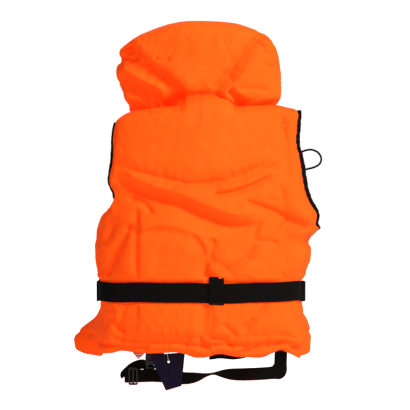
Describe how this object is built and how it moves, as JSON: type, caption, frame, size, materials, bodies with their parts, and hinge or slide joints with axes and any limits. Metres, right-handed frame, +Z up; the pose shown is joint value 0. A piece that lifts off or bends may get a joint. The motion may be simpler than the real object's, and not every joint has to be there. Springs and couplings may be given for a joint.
{
  "type": "life jacket",
  "caption": "Foam life jacket: orange vest with a standing head collar, front zip, black waist belt with a side-release buckle, and a crotch strap.",
  "frame": {"origin": "centre of the vest's torso ring, in the plane of the hem", "axes": "+Z up towards the wearer's head, -Y the way the wearer faces, +X the wearer's left"},
  "size_m": [0.4684, 0.2637, 0.7106],
  "materials": {
    "cover_fabric": "woven, slight sheen",
    "foam": "closed-cell foam",
    "webbing": "woven",
    "binding": "woven",
    "buckle_plastic": "satin",
    "zip_tape": "woven",
    "zip_plastic": "satin",
    "zip_metal": "satin",
    "reflective": "retro-reflective",
    "label_white": "smooth",
    "label_red": "smooth",
    "tag_card": "smooth",
    "clear_thread": "clear",
    "whistle_plastic": "smooth",
    "cord": "braided"
  },
  "bodies": {
    "back": {"back_cover": "cover_fabric", "yoke_foam": "foam", "back_foam_left": "foam", "back_foam_right": "foam", "side_gusset_left": "cover_fabric", "side_gusset_right": "cover_fabric", "back_shoulder_pads": "cover_fabric", "back_armhole_binding_left": "binding", "back_armhole_binding_right": "binding", "belt_back": "webbing", "belt_back_keeper": "webbing", "crotch_strap": "webbing", "crotch_socket": "buckle_plastic", "crotch_socket_tab": "webbing", "hem_anchor_tab": "webbing", "inside_label": "label_white", "care_tab": "label_red", "tag_thread": "clear_thread"},
    "collar": {"collar_cover": "cover_fabric", "collar_foam_centre": "foam", "collar_foam_left": "foam", "collar_foam_right": "foam", "collar_reflective_patches": "reflective"},
    "front_left": {"front_cover_left": "cover_fabric", "front_foam_left": "foam", "front_side_left": "cover_fabric", "front_shoulder_pad_left": "cover_fabric", "front_armhole_binding_left": "binding", "chest_reflective_left": "reflective", "belt_front_left": "webbing", "belt_loop_left": "webbing", "zip_tape_left": "zip_tape", "zip_teeth_left": "zip_plastic", "zip_pin": "zip_plastic"},
    "front_right": {"front_cover_right": "cover_fabric", "front_foam_right": "foam", "front_side_right": "cover_fabric", "front_shoulder_pad_right": "cover_fabric", "front_armhole_binding_right": "binding", "chest_reflective_right": "reflective", "belt_front_right": "webbing", "belt_loop_right": "webbing", "zip_tape_right": "zip_tape", "zip_teeth_right": "zip_plastic", "zip_box": "zip_plastic", "belt_socket": "buckle_plastic", "whistle_lanyard": "cord"},
    "belt_plug": {"belt_plug": "buckle_plastic", "belt_tail": "webbing"},
    "belt_arm_upper": {"belt_arm_upper": "buckle_plastic"},
    "belt_arm_lower": {"belt_arm_lower": "buckle_plastic"},
    "zip_slider": {"zip_slider": "zip_metal"},
    "zip_pull": {"zip_pull": "zip_metal"},
    "whistle": {"whistle": "whistle_plastic"},
    "crotch_plug": {"crotch_plug": "buckle_plastic"},
    "crotch_arm_left": {"crotch_arm_left": "buckle_plastic"},
    "crotch_arm_right": {"crotch_arm_right": "buckle_plastic"},
    "crotch_adjuster": {"crotch_adjuster": "buckle_plastic"},
    "hang_tag": {"hang_tag": "tag_card"}
  },
  "joints": [
    {"name": "collar_fold", "type": "hinge", "parent": "back", "child": "collar", "pos_m": [0, 0.08, 0.459], "axis": [1, 0, 0], "range_deg": [-90, 10], "stiffness_Nm_per_rad": 1.5},
    {"name": "front_left_open", "type": "hinge", "parent": "back", "child": "front_left", "pos_m": [0.202, -0.01, 0], "axis": [0, 0, 1], "range_deg": [0, 80]},
    {"name": "front_right_open", "type": "hinge", "parent": "back", "child": "front_right", "pos_m": [-0.202, -0.01, 0], "axis": [0, 0, -1], "range_deg": [0, 80]},
    {"name": "zip_slide", "type": "slide", "parent": "front_right", "child": "zip_slider", "axis": [0, 0, 1], "range_m": [0, 0.275]},
    {"name": "zip_pull_lift", "type": "hinge", "parent": "zip_slider", "child": "zip_pull", "pos_m": [0, -0.1416, 0.0245], "axis": [-1, 0, 0], "range_deg": [0, 150]},
    {"name": "belt_clip", "type": "slide", "parent": "front_left", "child": "belt_plug", "axis": [-1, 0, 0], "range_m": [0, 0.04]},
    {"name": "belt_arm_press", "type": "hinge", "parent": "belt_plug", "child": "belt_arm_upper", "pos_m": [0.0332, -0.14495, 0.12824], "axis": [0, -1, 0], "range_deg": [0, 6], "stiffness_Nm_per_rad": 0.5},
    {"name": "belt_arm_press_lower", "type": "hinge", "parent": "belt_plug", "child": "belt_arm_lower", "pos_m": [0.0332, -0.14495, 0.09576], "axis": [0, 1, 0], "range_deg": [0, 6], "stiffness_Nm_per_rad": 0.5},
    {"name": "crotch_release", "type": "slide", "parent": "back", "child": "crotch_plug", "axis": [0, 0, -1], "range_m": [0, 0.022], "stiffness_N_per_m": 400},
    {"name": "crotch_arm_press", "type": "hinge", "parent": "crotch_plug", "child": "crotch_arm_left", "pos_m": [0.09865, 0.02855, -0.0242], "axis": [0, -1, 0], "range_deg": [0, 5], "stiffness_Nm_per_rad": 0.3},
    {"name": "crotch_arm_press_right", "type": "hinge", "parent": "crotch_plug", "child": "crotch_arm_right", "pos_m": [0.07735, 0.02855, -0.0242], "axis": [0, 1, 0], "range_deg": [0, 5], "stiffness_Nm_per_rad": 0.3},
    {"name": "crotch_adjuster_slide", "type": "slide", "parent": "back", "child": "crotch_adjuster", "axis": [0.9995, 0, -0.0317], "range_m": [-0.012, 0.008]},
    {"name": "whistle_swing", "type": "hinge", "parent": "front_right", "child": "whistle", "pos_m": [-0.12, -0.145, 0.3], "axis": [0, 1, 0], "range_deg": [-40, 40]},
    {"name": "tag_swing", "type": "hinge", "parent": "back", "child": "hang_tag", "pos_m": [0.061, 0.0424, -0.027], "axis": [0, 1, 0], "range_deg": [-25, 25]}
  ],
  "couplings": [
    {"joint": "belt_arm_press_lower", "follows": "belt_arm_press", "ratio": 1},
    {"joint": "crotch_arm_press_right", "follows": "crotch_arm_press", "ratio": 1}
  ]
}
